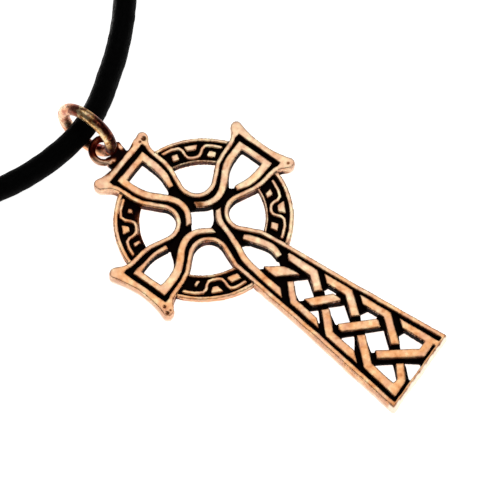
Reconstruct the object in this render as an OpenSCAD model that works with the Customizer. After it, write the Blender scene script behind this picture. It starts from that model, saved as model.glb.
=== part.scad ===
// A ringed cross cast in one piece with its loop, a jump ring through the loop,
// and a round neck cord that runs through the jump ring and closes in a plain barrel.
// It lies on its back: Z is up, +Y runs from the foot of the shaft to the loop.
// All sizes are in millimetres.

/* [Cross] */
// Centre of the cross to the inner edge of the rim at the end of a side arm
side_reach = 11.7; // [11.4:0.1:12]
// The same on the head arm, which carries the loop
head_reach = 12.15; // [11.8:0.1:12.5]
// Centre of the cross to the foot of the shaft
foot_reach = 33.7; // [33.4:0.1:34.4]
// Width of the raised rim round the arms and down the shaft
rim_w = 0.6; // [0.45:0.05:0.65]
// Width of the rim at the end of an arm, at its middle
end_rim_w = 0.76; // [0.6:0.02:0.86]
// Width of the thin rim across the foot
foot_rim_w = 0.3; // [0.25:0.05:0.4]
// Gap between a band of the plait and the band that passes over it
plait_gap = 0.65; // [0.5:0.05:0.75]
// The same between the four bands round the middle of the cross
knot_gap = 0.85; // [0.6:0.05:0.95]
// Height of the rims and the bands above the back
face_h = 1.9; // [1.6:0.1:2.2]
// Height of the sunk ground between them
ground_h = 1; // [0.8:0.1:1.2]

/* [Ring of the cross] */
// Outer radius of the ring behind the arms, along its longer diagonal
ring_out_r = 11.2; // [11:0.1:11.3]
// Inner radius of that ring, along the same diagonal
ring_in_r = 7.9; // [7.7:0.1:8]
// Height of the back of the ring above the back of the cross
ring_back_h = 0.5; // [0.2:0.1:0.6]
// Height of the ring's raised work
ring_face_h = 1.65; // [1.5:0.05:1.75]
// Height of the ring's sunk ground
ring_ground_h = 0.95; // [0.8:0.05:1.1]
// Width of the ring's outer rim
ring_rim_w = 0.5; // [0.4:0.05:0.55]

/* [Cast loop] */
// Radius of the loop at the middle of its wire
loop_r = 1.52; // [1.44:0.02:1.56]
// Thickness of the loop's wire
loop_wire = 0.9; // [0.8:0.05:1]
// Angle at which the loop tips up from the face of the cross
loop_tilt = 18; // [16:1:22]

/* [Jump ring] */
// Radius of the jump ring at the middle of its wire
jump_r = 3.65; // [3.65:0.05:3.8]
// Thickness of the jump ring's wire
jump_wire = 1.5; // [1.2:0.05:1.5]
// Angle by which the standing jump ring leans over
jump_lean = 5; // [4:1:7]

/* [Neck cord] */
// Thickness of the round cord
cord_d = 3; // [2.8:0.1:3]

/* [Barrel clasp] */
// Diameter of the barrel
clasp_d = 5; // [4.6:0.1:5.2]
// Length of the barrel
clasp_l = 14; // [12:1:15]
// Depth of the socket at each end
socket_deep = 4; // [3.6:0.1:4.2]

/* [Hidden] */
curve_fn = 40;
ring_fn = 160;
// Steps of a curve from one row of its table to the next
curve_steps = 3;

// The origin lies under the middle of the cross and jump ring together.
cross_y = 5.53;
// Raised work stands this far in from the edges of the plate under it.
step_in = 0.02;
// Plates that meet are grown by this much, so that they join.
seam = 0.001;
// The ring's ends run this far into the rims of the arms.
ring_bite = 0.3;

// Inner fillet between two arms, at the outer edge of the rim
crotch_r = 2;
// Rounding at the tips of the arms
horn_r = 0.65;
// How far the ends of the arms are dished
end_dish = 0.04;
// How much shorter the shaft is at its right corner
foot_slant = 0.4;
// Half width of the sunk panel at the end of an arm
panel_half = 3.25;
// Radius about the centre within which all is panel
hub_r = 6;
// How far the sides of the panel run on past the foot, whose rim is thinner
panel_run_on = 2;
// How much lower the right horn of the head arm is than its left one
head_horn_drop = 0.25;
// Row of the side of an arm at which its horn begins
horn_row = 7;
// The ring's outer edge is cast this far off the middle of the cross
ring_shift = [0.1, -0.1];
// The ring is narrower by this ratio along its other diagonal, and the edges of its rims
// by the second
ring_squash = 0.967;
rim_squash = 0.98;
// Gaps at the ends of the short legs of an arm's band
leg_gap = 0.4;
leaf_gap = 0.75;
return_gap = 0.55;
tail_gap = 0.85;
// Height on an arm above which a longer arm is stretched
stretch_from = 6;

// Sides of an arm that points up: distance from its axis, distance from the centre
arm_side_left = [
    [1.1, 3], [2.1, 4.8], [3.2, 6.95], [3.45, 8.2], [3.55, 9.6], [3.62, 10.55],
    [3.9, 11.15], [4.78, 12.05], [4.92, 13.5], [3.8, 13.06]
];
arm_side_right = [
    [1.1, 3], [2.1, 5], [3.05, 6.95], [3.35, 8.2], [3.47, 9.6], [3.57, 10.55],
    [3.88, 11.15], [4.75, 12.05], [4.9, 13.45], [3.8, 13.04]
];
// Sides of the shaft: distance from its axis, distance below the centre
shaft_side_left = [[1.1, 3], [2, 5], [2.8, 7], [3.15, 10], [4.15, 20], [5.85, foot_reach]];
shaft_side_right = [[1.1, 3], [2.2, 5], [3.15, 7], [3.5, 10], [4.3, 20], [5.6, foot_reach - foot_slant]];

// Bands are tables of x, y and width along their middles.
// The band that leaves the centre hole and climbs the left of an arm
arm_main = [
    [-2.45, 0.25, 0.75], [-1.55, 1.02, 0.75], [-0.75, 1.75, 0.8], [-0.27, 2.7, 0.85],
    [-0.17, 3.7, 0.88], [-0.5, 4.9, 0.92], [-1.1, 6, 0.98], [-1.7, 7.05, 1],
    [-2.03, 8.2, 1], [-2.12, 9.5, 0.96], [-2.12, 11.12, 0.96]
];
// The band that comes down the right of an arm and passes under the first
arm_return = [
    [2.02, 11.12, 1.05], [2, 9.5, 1.05], [1.88, 8.2, 1.05], [1.62, 7.1, 1],
    [1.22, 6.3, 0.86], [0.92, 5.6, 0.7]
];
// Middle and width of the bar that joins them at the end of the arm
arm_bar_y = 10.7;
arm_bar_w = 0.84;
arm_hole = [
    [-1.75, 10.4], [-1.85, 9.2], [-1.6, 7.9], [-1, 6.7], [0, 5.45],
    [0.5, 5.75], [1.05, 6.7], [1.45, 7.9], [1.55, 9.2], [1.55, 10.4]
];
// The left arm's own bands and hole: its first band is wider there, and its second thinner
left_arm_main = [
    [-2.45, 0.25, 0.75], [-1.55, 1.02, 0.75], [-0.75, 1.75, 0.8], [-0.27, 2.7, 0.85],
    [-0.17, 3.7, 0.88], [-0.5, 4.9, 0.92], [-1.1, 6, 0.98], [-1.66, 7.05, 1.06],
    [-1.95, 8.2, 1.14], [-2.03, 9.5, 1.16], [-1.98, 10.4, 1.3], [-1.98, 11.12, 1.3]
];
left_arm_return = [
    [1.97, 11.12, 0.82], [1.97, 10.3, 0.8], [1.92, 9.4, 0.54], [1.87, 8.4, 0.48], [1.72, 7.4, 0.52],
    [1.42, 6.5, 0.62], [1.1, 5.75, 0.62]
];
left_arm_hole = [
    [-1.75, 10.4], [-1.85, 9.2], [-1.5, 8.1], [-1.2, 7.55], [-0.76, 6.87], [-0.28, 6.39],
    [0.3, 5.97], [0.72, 5.6], [1.05, 6], [1.6, 7], [1.85, 8], [1.9, 9.2], [1.9, 10.4]
];
// The band from the centre hole down the left of the shaft
shaft_main = [
    [2.55, -0.5, 0.75], [1.75, -1.15, 0.75], [1.02, -1.9, 0.8], [0.58, -2.95, 0.76],
    [0.22, -4.05, 0.74], [-0.2, -5.1, 0.8], [-0.62, -6.15, 0.86], [-1.13, -7.2, 0.9],
    [-1.48, -8.4, 0.9], [-1.68, -9.8, 0.88], [-1.88, -11.2, 0.88], [-2.03, -12.5, 0.9],
    [-2.25, -14.8, 0.9]
];
shaft_return = [
    [1, -5.55, 0.7], [1.32, -6.4, 0.92], [1.75, -7.7, 0.96], [1.98, -8.8, 0.92],
    [1.95, -9.8, 0.9], [1.6, -10.8, 0.8]
];
leaf = [
    [-0.62, -9.95], [-0.3, -10.4], [0.5, -11.35], [0.95, -12.1], [1.12, -13],
    [1.3, -14.5], [0.3, -13.25], [-0.9, -12], [-0.88, -11], [-0.8, -10.4]
];

// The plait on the shaft, from the top down
left_1 = [[0.3, -13.35, 0.92], [-2.17, -15.75, 0.92], [-2.75, -20.8, 0.9]];
left_2 = [[0.2, -18.65, 1.08], [-2.92, -21.8, 1.08], [-3.45, -26.9, 1.08]];
left_3 = [[0.2, -24, 1.15], [-3.38, -28, 1.15], [-4, -32.42, 1.2]];
foot_left = [[-3.38, -28, 1.15], [-4, -32.42, 1.2], [-2.5, -32.38, 1.1], [0, -30.3, 1.05]];
right_1 = [[2.54, -11.4, 0.46], [2.33, -12.1, 0.98], [2.42, -15.42, 1.14], [0, -18.3, 1.14]];
right_2 = [[2.62, -16, 1], [2.95, -20.45, 1.08], [0, -24.1, 1.14]];
right_3 = [[3.05, -21.3, 0.95], [3.42, -25.95, 1.02], [-0.1, -30.2, 1.14]];
over_1 = [[-2.4, -16.15, 1.14], [2.7, -20.7, 1.14]];
over_2 = [[-2.5, -21.3, 1.16], [3, -26.85, 1.16]];
over_3 = [[-2.7, -26.6, 1.16], [1.95, -32.3, 1.12], [3.9, -32.25, 1.05]];
right_4 = [[1.95, -32.3, 1.12], [3.88, -32.25, 1.02], [3.45, -26.2, 0.95]];
// The last corner runs out into the rim of the foot
corner_run = [[3.6, -32.5], [4.4, -32.5], [4.5, -33.2], [3.7, -33.2]];

shaft_holes = [
    [[0.1, -5.95], [-0.7, -6.9], [-1.2, -8.2], [-1.3, -9.4], [-0.75, -9.8], [-0.3, -10.6], [0.72, -11.6],
        [1.3, -10.95], [1.65, -10], [1.65, -9], [1.45, -8], [1.05, -6.9], [0.55, -6.2]],
    [[-0.15, -14], [0.45, -13.85], [1.68, -15.1], [0.05, -17.4], [-1.4, -16.1]],
    [[-0.4, -20.1], [0.2, -19.35], [1.62, -20.72], [0.05, -22.95], [-1.2, -21.5]],
    [[-0.4, -25.6], [0.2, -25], [1.85, -26.62], [0.05, -28.85], [-1.5, -27.2]],
    [[-2.3, -17.6], [-1.6, -17.8], [-0.8, -18.6], [-2.3, -19.9]],
    [[-2.7, -22.9], [-1.95, -23.1], [-0.9, -24.15], [-2.7, -25.45]],
    [[-3.4, -28.4], [-2.4, -28.5], [-1.05, -30.1], [-2.75, -31.95], [-3.5, -31.2]],
    [[1.05, -18.35], [1.65, -17.65], [2.35, -17.9], [2.5, -18.95], [1.95, -19.2]],
    [[0.95, -23.9], [1.8, -23.1], [2.8, -23.6], [2.9, -24.9], [2.2, -25.1]],
    [[0.85, -29.9], [2.35, -28.55], [3.2, -28.8], [3.4, -31.95], [2.4, -32]],
    [[-0.45, -31.75], [-0.1, -31.2], [0.95, -32.7], [0.85, -33.3], [-1.6, -33.3], [-1.5, -32.8]]
];
centre_hole = [[0, 2.1], [2.1, 0], [0.87, -1.1], [0.3, -1.36], [-0.6, -1.5], [-2.1, 0]];

// The line with a dip in each quarter of the ring: angle of the middle of the quarter,
// radius before the dip, in it and after it, and the angles of its four corners from there
ring_lines = [
    [45, 9.86, 8.45, 9.95, -9.8, -4.6, 5.2, 10.2],
    [135, 10.15, 8.5, 9.85, -8.5, -4, 5.6, 10.6],
    [225, 9.92, 8.47, 10, -7.2, -2.4, 8.8, 13.2],
    [315, 10.2, 8.77, 10.05, -8.7, -4, 4.6, 9.3]
];
ring_line_w = 0.4;
ring_line_end = 25;
// Blocks in the dips and beside them: angle of the middle of the quarter, outer radius and
// the angles at which it starts and ends, inner radius and the angles at which it does
ring_blocks = [
    [45, 10, -4, 6.5, 9.3, -2.6, 4.6],
    [45, 9.2, -18.5, -12.8, 8.42, -18, -10.6],
    [45, 9.3, 12.5, 17.5, 8.45, 12.2, 18.3],
    [135, 10.1, -2.5, 4.6, 9.2, -1, 3],
    [135, 9.35, -16, -12.5, 8.75, -15.8, -12],
    [135, 9.25, 13.5, 17, 8.4, 12.8, 15.5],
    [225, 10.1, -2, 7.5, 9.22, 0, 4.2],
    [225, 9.1, -14.5, -12, 8.37, -13, -9.2],
    [225, 9.35, 15, 23.5, 8.5, 13, 23],
    [315, 10.4, -4.2, 5.5, 9.45, -2.4, 3],
    [315, 9.52, -18.5, -12.5, 8.6, -17, -10.9],
    [315, 9.33, 12.5, 17.5, 8.5, 10.7, 15]
];
// Edge of the thin rim round the hole of the ring
ring_inner_rim_r = 8.05;
// The ring's raised work starts this far above its back.
ring_root = 0.1;
// Clear space between the ring's pattern and the arms
pattern_gap = 0.35;

// Middle of the cast loop, from the centre of the cross
loop_pos = [-0.3, 15.36, 1.95];
// Outline and thickness of the neck below the loop, with a shoulder at the loop's right side
neck_outline = [
    [-1.2, -1.35], [1.3, -1.35], [1.7, -0.35], [2.1, -0.75], [1.95, -1.4], [1.85, -2.3],
    [2, -3.05], [-1.15, -3.05]
];
neck_h = 1;

// Middle of the jump ring, from the centre of the cross
jump_x = -0.12;
jump_y = 18;
jump_turn = 1.5;

// Route of the cord from one end of the barrel round to the other, from the
// centre of the cross: x, y and height of the middle of the cord
clasp_x = 2;
clasp_y = 176;
clasp_z = clasp_d / 2;
// Clear space round the cord in a socket, between the cord's end and the socket's
// floor, and how far the socket's bore is run out through the end of the barrel
socket_gap = 0.15;
socket_floor_gap = 0.4;
socket_run_out = 0.01;
cord_end = clasp_l / 2 - socket_deep + socket_floor_gap;
cord_route = [
    [clasp_x + cord_end, clasp_y, clasp_z], [11, clasp_y, clasp_z - 0.1], [18, 175.2, 1.65],
    [27.5, 172.2, 1.5], [39, 165.6, 1.5], [50.5, 155.6, 1.5], [60, 142.2, 1.5], [65.8, 126, 1.5],
    [67.5, 108.5, 1.5], [65, 90, 1.5], [59, 72.6, 1.5], [50, 57.2, 1.5], [39.5, 44.6, 1.5],
    [28.5, 34.2, 1.5], [18, 26.25, 1.5], [12.3, 22.95, 1.6],
    [7.3, 20.8, 2.2], [3.4, 19.35, 3], [0.1, 18.8, 3.45], [-3.4, 19.15, 3], [-7, 20.3, 2.1],
    [-11.6, 22.35, 1.55], [-18, 26.2, 1.5], [-27, 33.4, 1.5], [-37, 43.8, 1.5], [-46.8, 56.8, 1.5],
    [-55.4, 72.6, 1.5], [-61.4, 90, 1.5], [-63.5, 108.5, 1.5], [-61.8, 126, 1.5], [-56, 142.2, 1.5],
    [-46.5, 155.6, 1.5], [-35, 165.6, 1.5], [-23.5, 172.2, 1.5], [-14, 175.2, 1.65],
    [-7, clasp_y, clasp_z - 0.1], [clasp_x - cord_end, clasp_y, clasp_z]
];
cord_sides = 8;
rings_per_span = 2;

function unit(v) = v / norm(v);
function flat(r) = [r[0], r[1]];

// Heading of a band at a row, and how much a mitre widens it there
function heading(p, i) =
    i == 0 ? unit(flat(p[1]) - flat(p[0])) :
    i == len(p) - 1 ? unit(flat(p[i]) - flat(p[i - 1])) :
    unit(unit(flat(p[i]) - flat(p[i - 1])) + unit(flat(p[i + 1]) - flat(p[i])));
function mitre(p, i) =
    i == 0 || i == len(p) - 1 ? 1 : 1 / (heading(p, i) * unit(flat(p[i + 1]) - flat(p[i])));
function band_edge(p, i, s) =
    let (h = heading(p, i)) flat(p[i]) + s * p[i][2] / 2 * mitre(p, i) * [-h[1], h[0]];

// A curve through all rows of a table
function curve_at(p, i, t) =
    let (a = p[max(i - 1, 0)], b = p[i], c = p[i + 1], d = p[min(i + 2, len(p) - 1)])
    0.5 * (
        2 * b + (c - a) * t + (2 * a - 5 * b + 4 * c - d) * t * t
        + (3 * b - a - 3 * c + d) * t * t * t
    );
function curve(p, n = curve_steps) = concat(
    [for (i = [0:len(p) - 2], k = [0:n - 1]) curve_at(p, i, k / n)],
    [p[len(p) - 1]]
);

// Tables of an arm are drawn for a side arm and stretched to the arm's own reach
function stretch(y, reach) =
    let (ratio = (reach - stretch_from) / (side_reach - stretch_from))
    y < stretch_from ? y : stretch_from + (y - stretch_from) * ratio;
function stretch_rows(p, reach) = [
    for (r = p) len(r) == 2 ? [r[0], stretch(r[1], reach)] : [r[0], stretch(r[1], reach), r[2]]
];
function polar(r) = [r[1] * cos(r[0]), r[1] * sin(r[0])];

module band(p) {
    last = len(p) - 1;
    polygon(concat([for (i = [0:last]) band_edge(p, i, 1)], [for (i = [last:-1:0]) band_edge(p, i, -1)]));
}

module under(gap) {
    difference() {
        children(0);
        offset(delta = gap) children(1);
    }
}

// Places what is drawn on an arm pointing up: the head arm, the right arm and the left arm
module on_arms() {
    children(0);
    rotate(-90) children(1);
    rotate(90) children($children - 1);
}

module arm_outline(reach, horn_drop = 0) {
    rows = len(arm_side_right);
    right = [for (i = [0:rows - 1]) arm_side_right[i] - [0, i < horn_row ? 0 : horn_drop]];
    end_x = right[rows - 1][0];
    steps = 12;
    end_row = [for (k = [1:steps - 1]) end_x * (1 - 2 * k / steps)];
    offset(r = horn_r, $fn = curve_fn) offset(delta = -horn_r)
        polygon(concat(
            stretch_rows(right, reach),
            [for (x = end_row) [x, reach + end_rim_w + end_dish * x * x]],
            [for (i = [len(arm_side_left) - 1:-1:0])
                [-arm_side_left[i][0], stretch(arm_side_left[i][1], reach)]],
            [[0, 0]]
        ));
}

// The shaft may run on past its foot along its own sides
module shaft_outline(run_on) {
    function past(p) = let (n = len(p) - 1) p[n] + run_on * unit(p[n] - p[n - 1]);
    left = concat(shaft_side_left, [past(shaft_side_left)]);
    right = concat(shaft_side_right, [past(shaft_side_right)]);
    polygon(concat(
        [for (r = right) [r[0], -r[1]]],
        [for (i = [len(left) - 1:-1:0]) [-left[i][0], -left[i][1]]],
        [[0, 0]]
    ));
}

// Outer edge of the four arms, with round inner corners
module cross_outline(run_on = 0) {
    offset(r = -crotch_r, $fn = curve_fn) offset(delta = crotch_r) union() {
        on_arms() {
            arm_outline(head_reach, head_horn_drop);
            arm_outline(side_reach);
        }
        shaft_outline(run_on);
    }
}

// The sunk panel inside the rims
module panel() {
    intersection() {
        offset(delta = -rim_w) cross_outline(panel_run_on);
        offset(delta = -foot_rim_w) cross_outline();
        union() {
            on_arms() {
                translate([-panel_half, 0]) square([2 * panel_half, head_reach]);
                translate([-panel_half, 0]) square([2 * panel_half, side_reach]);
            }
            circle(r = hub_r, $fn = curve_fn);
            translate([-ring_in_r, -foot_reach]) square([2 * ring_in_r, foot_reach]);
        }
    }
}

module arm_main_band(reach, rows = arm_main) {
    band(curve(stretch_rows(rows, reach)));
}

module arm_loop(reach, main_rows = arm_main, return_rows = arm_return) {
    bar_y = stretch(arm_bar_y, reach);
    left = main_rows[len(main_rows) - 1];
    right = return_rows[0];
    under(leg_gap) {
        band(curve(stretch_rows(return_rows, reach)));
        arm_main_band(reach, main_rows);
    }
    band([[left[0] - left[2] / 2, bar_y, arm_bar_w], [right[0] + right[2] / 2, bar_y, arm_bar_w]]);
}

// The four bands round the centre hole, each over the tail of the next
module centre_bands() {
    under(knot_gap) {
        arm_main_band(head_reach);
        rotate(90) arm_main_band(side_reach);
    }
    rotate(-90) under(knot_gap) {
        arm_main_band(side_reach);
        rotate(90) arm_main_band(head_reach);
    }
    rotate(90) under(knot_gap) {
        arm_main_band(side_reach, left_arm_main);
        rotate(-90) shaft_band();
    }
    under(knot_gap) {
        under(knot_gap) {
            shaft_band();
            rotate(-90) arm_main_band(side_reach);
        }
        band(left_1);
    }
}

module shaft_band() {
    band(curve(shaft_main));
}

module plait() {
    under(leaf_gap) {
        under_both(left_2) band(left_1);
        polygon(leaf);
    }
    under_both(over_1, left_3) band(left_2);
    under_both(over_2) band(left_3);
    under_both(over_3) band(foot_left);
    under(return_gap) {
        under_both(over_1) band(right_1);
        band(curve(shaft_return));
    }
    under_both(right_1, over_2) band(right_2);
    under_both(right_2, over_3) band(right_3);
    under(tail_gap) {
        band(right_4);
        band(right_3);
    }
    under_both(left_1, right_2) band(over_1);
    under_both(left_2, right_3) band(over_2);
    under_both(left_3) band(over_3);
    under_both(right_1) polygon(leaf);
}

// A band that passes under one or two others
module under_both(first, second = []) {
    difference() {
        children();
        offset(delta = plait_gap) {
            band(first);
            if (len(second) > 0) band(second);
        }
    }
}

module bands() {
    on_arms() {
        arm_loop(head_reach);
        arm_loop(side_reach);
        arm_loop(side_reach, left_arm_main, left_arm_return);
    }
    centre_bands();
    band(curve(shaft_return));
    plait();
    polygon(corner_run);
}

module holes() {
    on_arms() {
        polygon(stretch_rows(arm_hole, head_reach));
        polygon(arm_hole);
        polygon(left_arm_hole);
    }
    for (h = shaft_holes) polygon(h);
    polygon(centre_hole);
}

module ring_disc(r, squash) {
    rotate(45) scale([squash, 1]) circle(r = r, $fn = ring_fn);
}

module ring_sector() {
    difference() {
        translate(ring_shift) ring_disc(ring_out_r, ring_squash);
        ring_disc(ring_in_r, ring_squash);
        offset(delta = -ring_bite) cross_outline();
    }
}

module ring_line(r) {
    rows = [
        [-ring_line_end, r[1]], [r[4], r[1]], [r[5], r[2]],
        [r[6], r[2]], [r[7], r[3]], [ring_line_end, r[3]]
    ];
    rotate(r[0]) band([for (p = curve(rows)) concat(polar(p), [ring_line_w])]);
}

module ring_block(r) {
    corners = [[r[2], r[1]], [r[3], r[1]], [r[6], r[4]], [r[5], r[4]]];
    rotate(r[0]) polygon([for (p = corners) polar(p)]);
}

module ring_pattern() {
    difference() {
        union() {
            for (r = ring_lines) ring_line(r);
            for (r = ring_blocks) ring_block(r);
        }
        offset(delta = pattern_gap) cross_outline();
    }
    difference() {
        ring_sector();
        translate(ring_shift) ring_disc(ring_out_r - ring_rim_w, rim_squash);
    }
    intersection() {
        ring_sector();
        translate(ring_shift) ring_disc(ring_inner_rim_r, rim_squash);
    }
}

module loop_and_neck() {
    translate(loop_pos) rotate([loop_tilt, 0, 0]) {
        rotate_extrude($fn = 96) translate([loop_r, 0]) circle(d = loop_wire, $fn = 32);
        translate([0, 0, -neck_h / 2]) linear_extrude(neck_h) polygon(neck_outline);
    }
}

module cross() {
    color([0.8, 0.55, 0.38]) translate([0, cross_y, 0]) union() {
        linear_extrude(ground_h) offset(delta = seam) difference() {
            cross_outline();
            difference() {
                holes();
                bands();
            }
        }
        linear_extrude(face_h) offset(delta = -step_in) union() {
            difference() {
                cross_outline();
                panel();
            }
            bands();
        }
        translate([0, 0, ring_back_h]) linear_extrude(ring_ground_h - ring_back_h)
            offset(delta = seam) ring_sector();
        translate([0, 0, ring_back_h + ring_root]) linear_extrude(ring_face_h - ring_back_h - ring_root)
            offset(delta = -step_in) ring_pattern();
        loop_and_neck();
    }
}

module jump_ring() {
    middle_z = jump_r * cos(jump_lean) + jump_wire / 2;
    color([0.78, 0.5, 0.33]) translate([jump_x, cross_y + jump_y, middle_z])
        rotate([0, jump_lean, jump_turn]) rotate([0, 90, 0])
            rotate_extrude($fn = 128) translate([jump_r, 0]) circle(d = jump_wire, $fn = 48);
}

// Rings of points round the route, each square to the route's direction
function cord_ring(p, i) =
    let (
        ahead = unit(p[min(i + 1, len(p) - 1)] - p[max(i - 1, 0)]),
        across = unit(cross([0, 0, 1], ahead)),
        rise = cross(ahead, across)
    )
    [for (k = [0:cord_sides - 1]) let (a = 360 * (k + 0.5) / cord_sides)
        p[i] + cord_d / 2 * (cos(a) * across + sin(a) * rise) + [0, cross_y, 0]];

module neck_cord() {
    route = curve(cord_route, rings_per_span);
    rings = len(route);
    n = cord_sides;
    color([0.06, 0.06, 0.06]) polyhedron(
        points = [for (i = [0:rings - 1]) each cord_ring(route, i)],
        faces = concat(
            [[for (k = [0:n - 1]) k]],
            [for (i = [0:rings - 2], k = [0:n - 1])
                [i * n + k, (i + 1) * n + k, (i + 1) * n + (k + 1) % n, i * n + (k + 1) % n]],
            [[for (k = [n - 1:-1:0]) (rings - 1) * n + k]]
        )
    );
}

module clasp() {
    bore_l = socket_deep + socket_run_out;
    color([0.35, 0.26, 0.2]) translate([clasp_x, cross_y + clasp_y, clasp_z]) rotate([0, 90, 0])
        difference() {
            cylinder(d = clasp_d, h = clasp_l, center = true, $fn = 64);
            for (s = [-1, 1]) translate([0, 0, s * (clasp_l - socket_deep) / 2])
                cylinder(d = cord_d + 2 * socket_gap, h = bore_l, center = true, $fn = 64);
        }
}

cross();
jump_ring();
neck_cord();
clasp();
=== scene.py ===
import math

import bpy
import numpy as np
from mathutils import Matrix, Vector
from mathutils.bvhtree import BVHTree


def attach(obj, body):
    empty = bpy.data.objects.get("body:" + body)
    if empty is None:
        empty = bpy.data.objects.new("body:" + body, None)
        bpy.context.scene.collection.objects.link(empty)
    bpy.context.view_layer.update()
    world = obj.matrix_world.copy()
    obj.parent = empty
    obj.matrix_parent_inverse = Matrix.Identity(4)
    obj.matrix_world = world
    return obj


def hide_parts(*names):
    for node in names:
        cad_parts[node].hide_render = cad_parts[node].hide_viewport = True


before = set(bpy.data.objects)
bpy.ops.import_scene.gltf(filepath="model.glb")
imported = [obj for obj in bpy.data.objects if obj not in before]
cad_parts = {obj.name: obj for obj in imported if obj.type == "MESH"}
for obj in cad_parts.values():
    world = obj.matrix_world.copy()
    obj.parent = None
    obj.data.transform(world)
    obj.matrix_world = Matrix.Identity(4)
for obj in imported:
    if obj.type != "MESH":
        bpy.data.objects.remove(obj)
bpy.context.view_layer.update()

# Lengths are in metres, unless a name ends in _mm
MM = 0.001
CROSS_Y = 5.53 * MM


# Camera
CAMERA_AZIMUTH = math.radians(-52.95)
CAMERA_ELEVATION = math.radians(68.29)
CAMERA_DISTANCE = 0.4
CAMERA_TARGET = Vector((0.66 * MM, -1.37 * MM, 0))
CAMERA_LENS = 231.2
CAMERA_SENSOR = 36


def away_from_floor(azimuth, elevation):
    """The direction from the pendant to something at that azimuth and elevation."""
    flat = math.cos(elevation)
    return Vector((math.sin(azimuth) * flat, -math.cos(azimuth) * flat, math.sin(elevation)))


def add_camera():
    back = away_from_floor(CAMERA_AZIMUTH, CAMERA_ELEVATION)
    data = bpy.data.cameras.new("camera")
    data.lens = CAMERA_LENS
    data.sensor_width = CAMERA_SENSOR
    data.clip_start = 0.01
    data.clip_end = 20
    camera = bpy.data.objects.new("camera", data)
    camera.location = CAMERA_TARGET + back * CAMERA_DISTANCE
    camera.rotation_euler = (-back).to_track_quat("-Z", "Y").to_euler()
    bpy.context.scene.collection.objects.link(camera)
    bpy.context.scene.camera = camera


# Helpers for node trees
def node(tree, kind, inputs=None, **settings):
    """A new node. An input given as a socket is linked, and any other value is set on the input."""
    made = tree.nodes.new(kind)
    for name, value in settings.items():
        setattr(made, name, value)
    for name, value in (inputs or {}).items():
        if isinstance(value, bpy.types.NodeSocket):
            tree.links.new(value, made.inputs[name])
        else:
            made.inputs[name].default_value = value
    return made


def calc(tree, operation, first, second=0.0):
    """The output of a Math node."""
    made = node(tree, "ShaderNodeMath", {0: first, 1: second}, operation=operation)
    return made.outputs[0]


def vector_calc(tree, operation, first, second=(0, 0, 0)):
    """The vector output of a Vector Math node."""
    made = node(tree, "ShaderNodeVectorMath", {0: first, 1: second}, operation=operation)
    return made.outputs[0]


def remap(tree, value, low, high, to_low=0.0, to_high=1.0):
    """The value turned smoothly from one range into another."""
    made = node(
        tree, "ShaderNodeMapRange",
        {"Value": value, "From Min": low, "From Max": high, "To Min": to_low, "To Max": to_high},
        interpolation_type="SMOOTHSTEP",
    )
    return made.outputs["Result"]


def mix_colour(tree, factor, first, second, blend="MIX"):
    made = node(tree, "ShaderNodeMix", data_type="RGBA", blend_type=blend)
    for socket, value in zip((made.inputs[0], made.inputs[6], made.inputs[7]), (factor, first, second)):
        if isinstance(value, bpy.types.NodeSocket):
            tree.links.new(value, socket)
        else:
            socket.default_value = value
    return made.outputs[2]


def rgb(red, green, blue):
    return (red, green, blue, 1)


def noise_value(tree, place, scale, detail=2.0, roughness=0.5):
    made = node(
        tree, "ShaderNodeTexNoise",
        {"Vector": place, "Scale": scale, "Detail": detail, "Roughness": roughness},
    )
    return made.outputs[0]


def colour_ramp(tree, factor, stops):
    made = node(tree, "ShaderNodeValToRGB", {"Fac": factor})
    ramp = made.color_ramp
    while len(ramp.elements) < len(stops):
        ramp.elements.new(1)
    for element, (position, colour) in zip(ramp.elements, stops):
        element.position = position
        element.color = colour
    return made.outputs["Color"]


def attribute(tree, name, output="Fac"):
    return node(tree, "ShaderNodeAttribute", attribute_name=name).outputs[output]


def new_material(name):
    material = bpy.data.materials.new(name)
    material.use_nodes = True
    tree = material.node_tree
    tree.nodes.clear()
    shader = tree.nodes.new("ShaderNodeBsdfPrincipled")
    out = tree.nodes.new("ShaderNodeOutputMaterial")
    tree.links.new(shader.outputs["BSDF"], out.inputs["Surface"])
    return material, tree, shader


def millimetres(tree):
    """Object coordinates in millimetres, so that a texture's scale is per millimetre."""
    place = node(tree, "ShaderNodeTexCoord").outputs["Object"]
    return node(tree, "ShaderNodeMapping", {"Vector": place, "Scale": (1000, 1000, 1000)}).outputs["Vector"]


def connect(tree, shader, **inputs):
    for name, value in inputs.items():
        socket = shader.inputs[name.replace("_", " ")]
        if isinstance(value, bpy.types.NodeSocket):
            tree.links.new(value, socket)
        else:
            socket.default_value = value


def bump(tree, height, strength, distance):
    made = node(tree, "ShaderNodeBump", {"Height": height, "Strength": strength, "Distance": distance})
    return made.outputs["Normal"]


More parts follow.
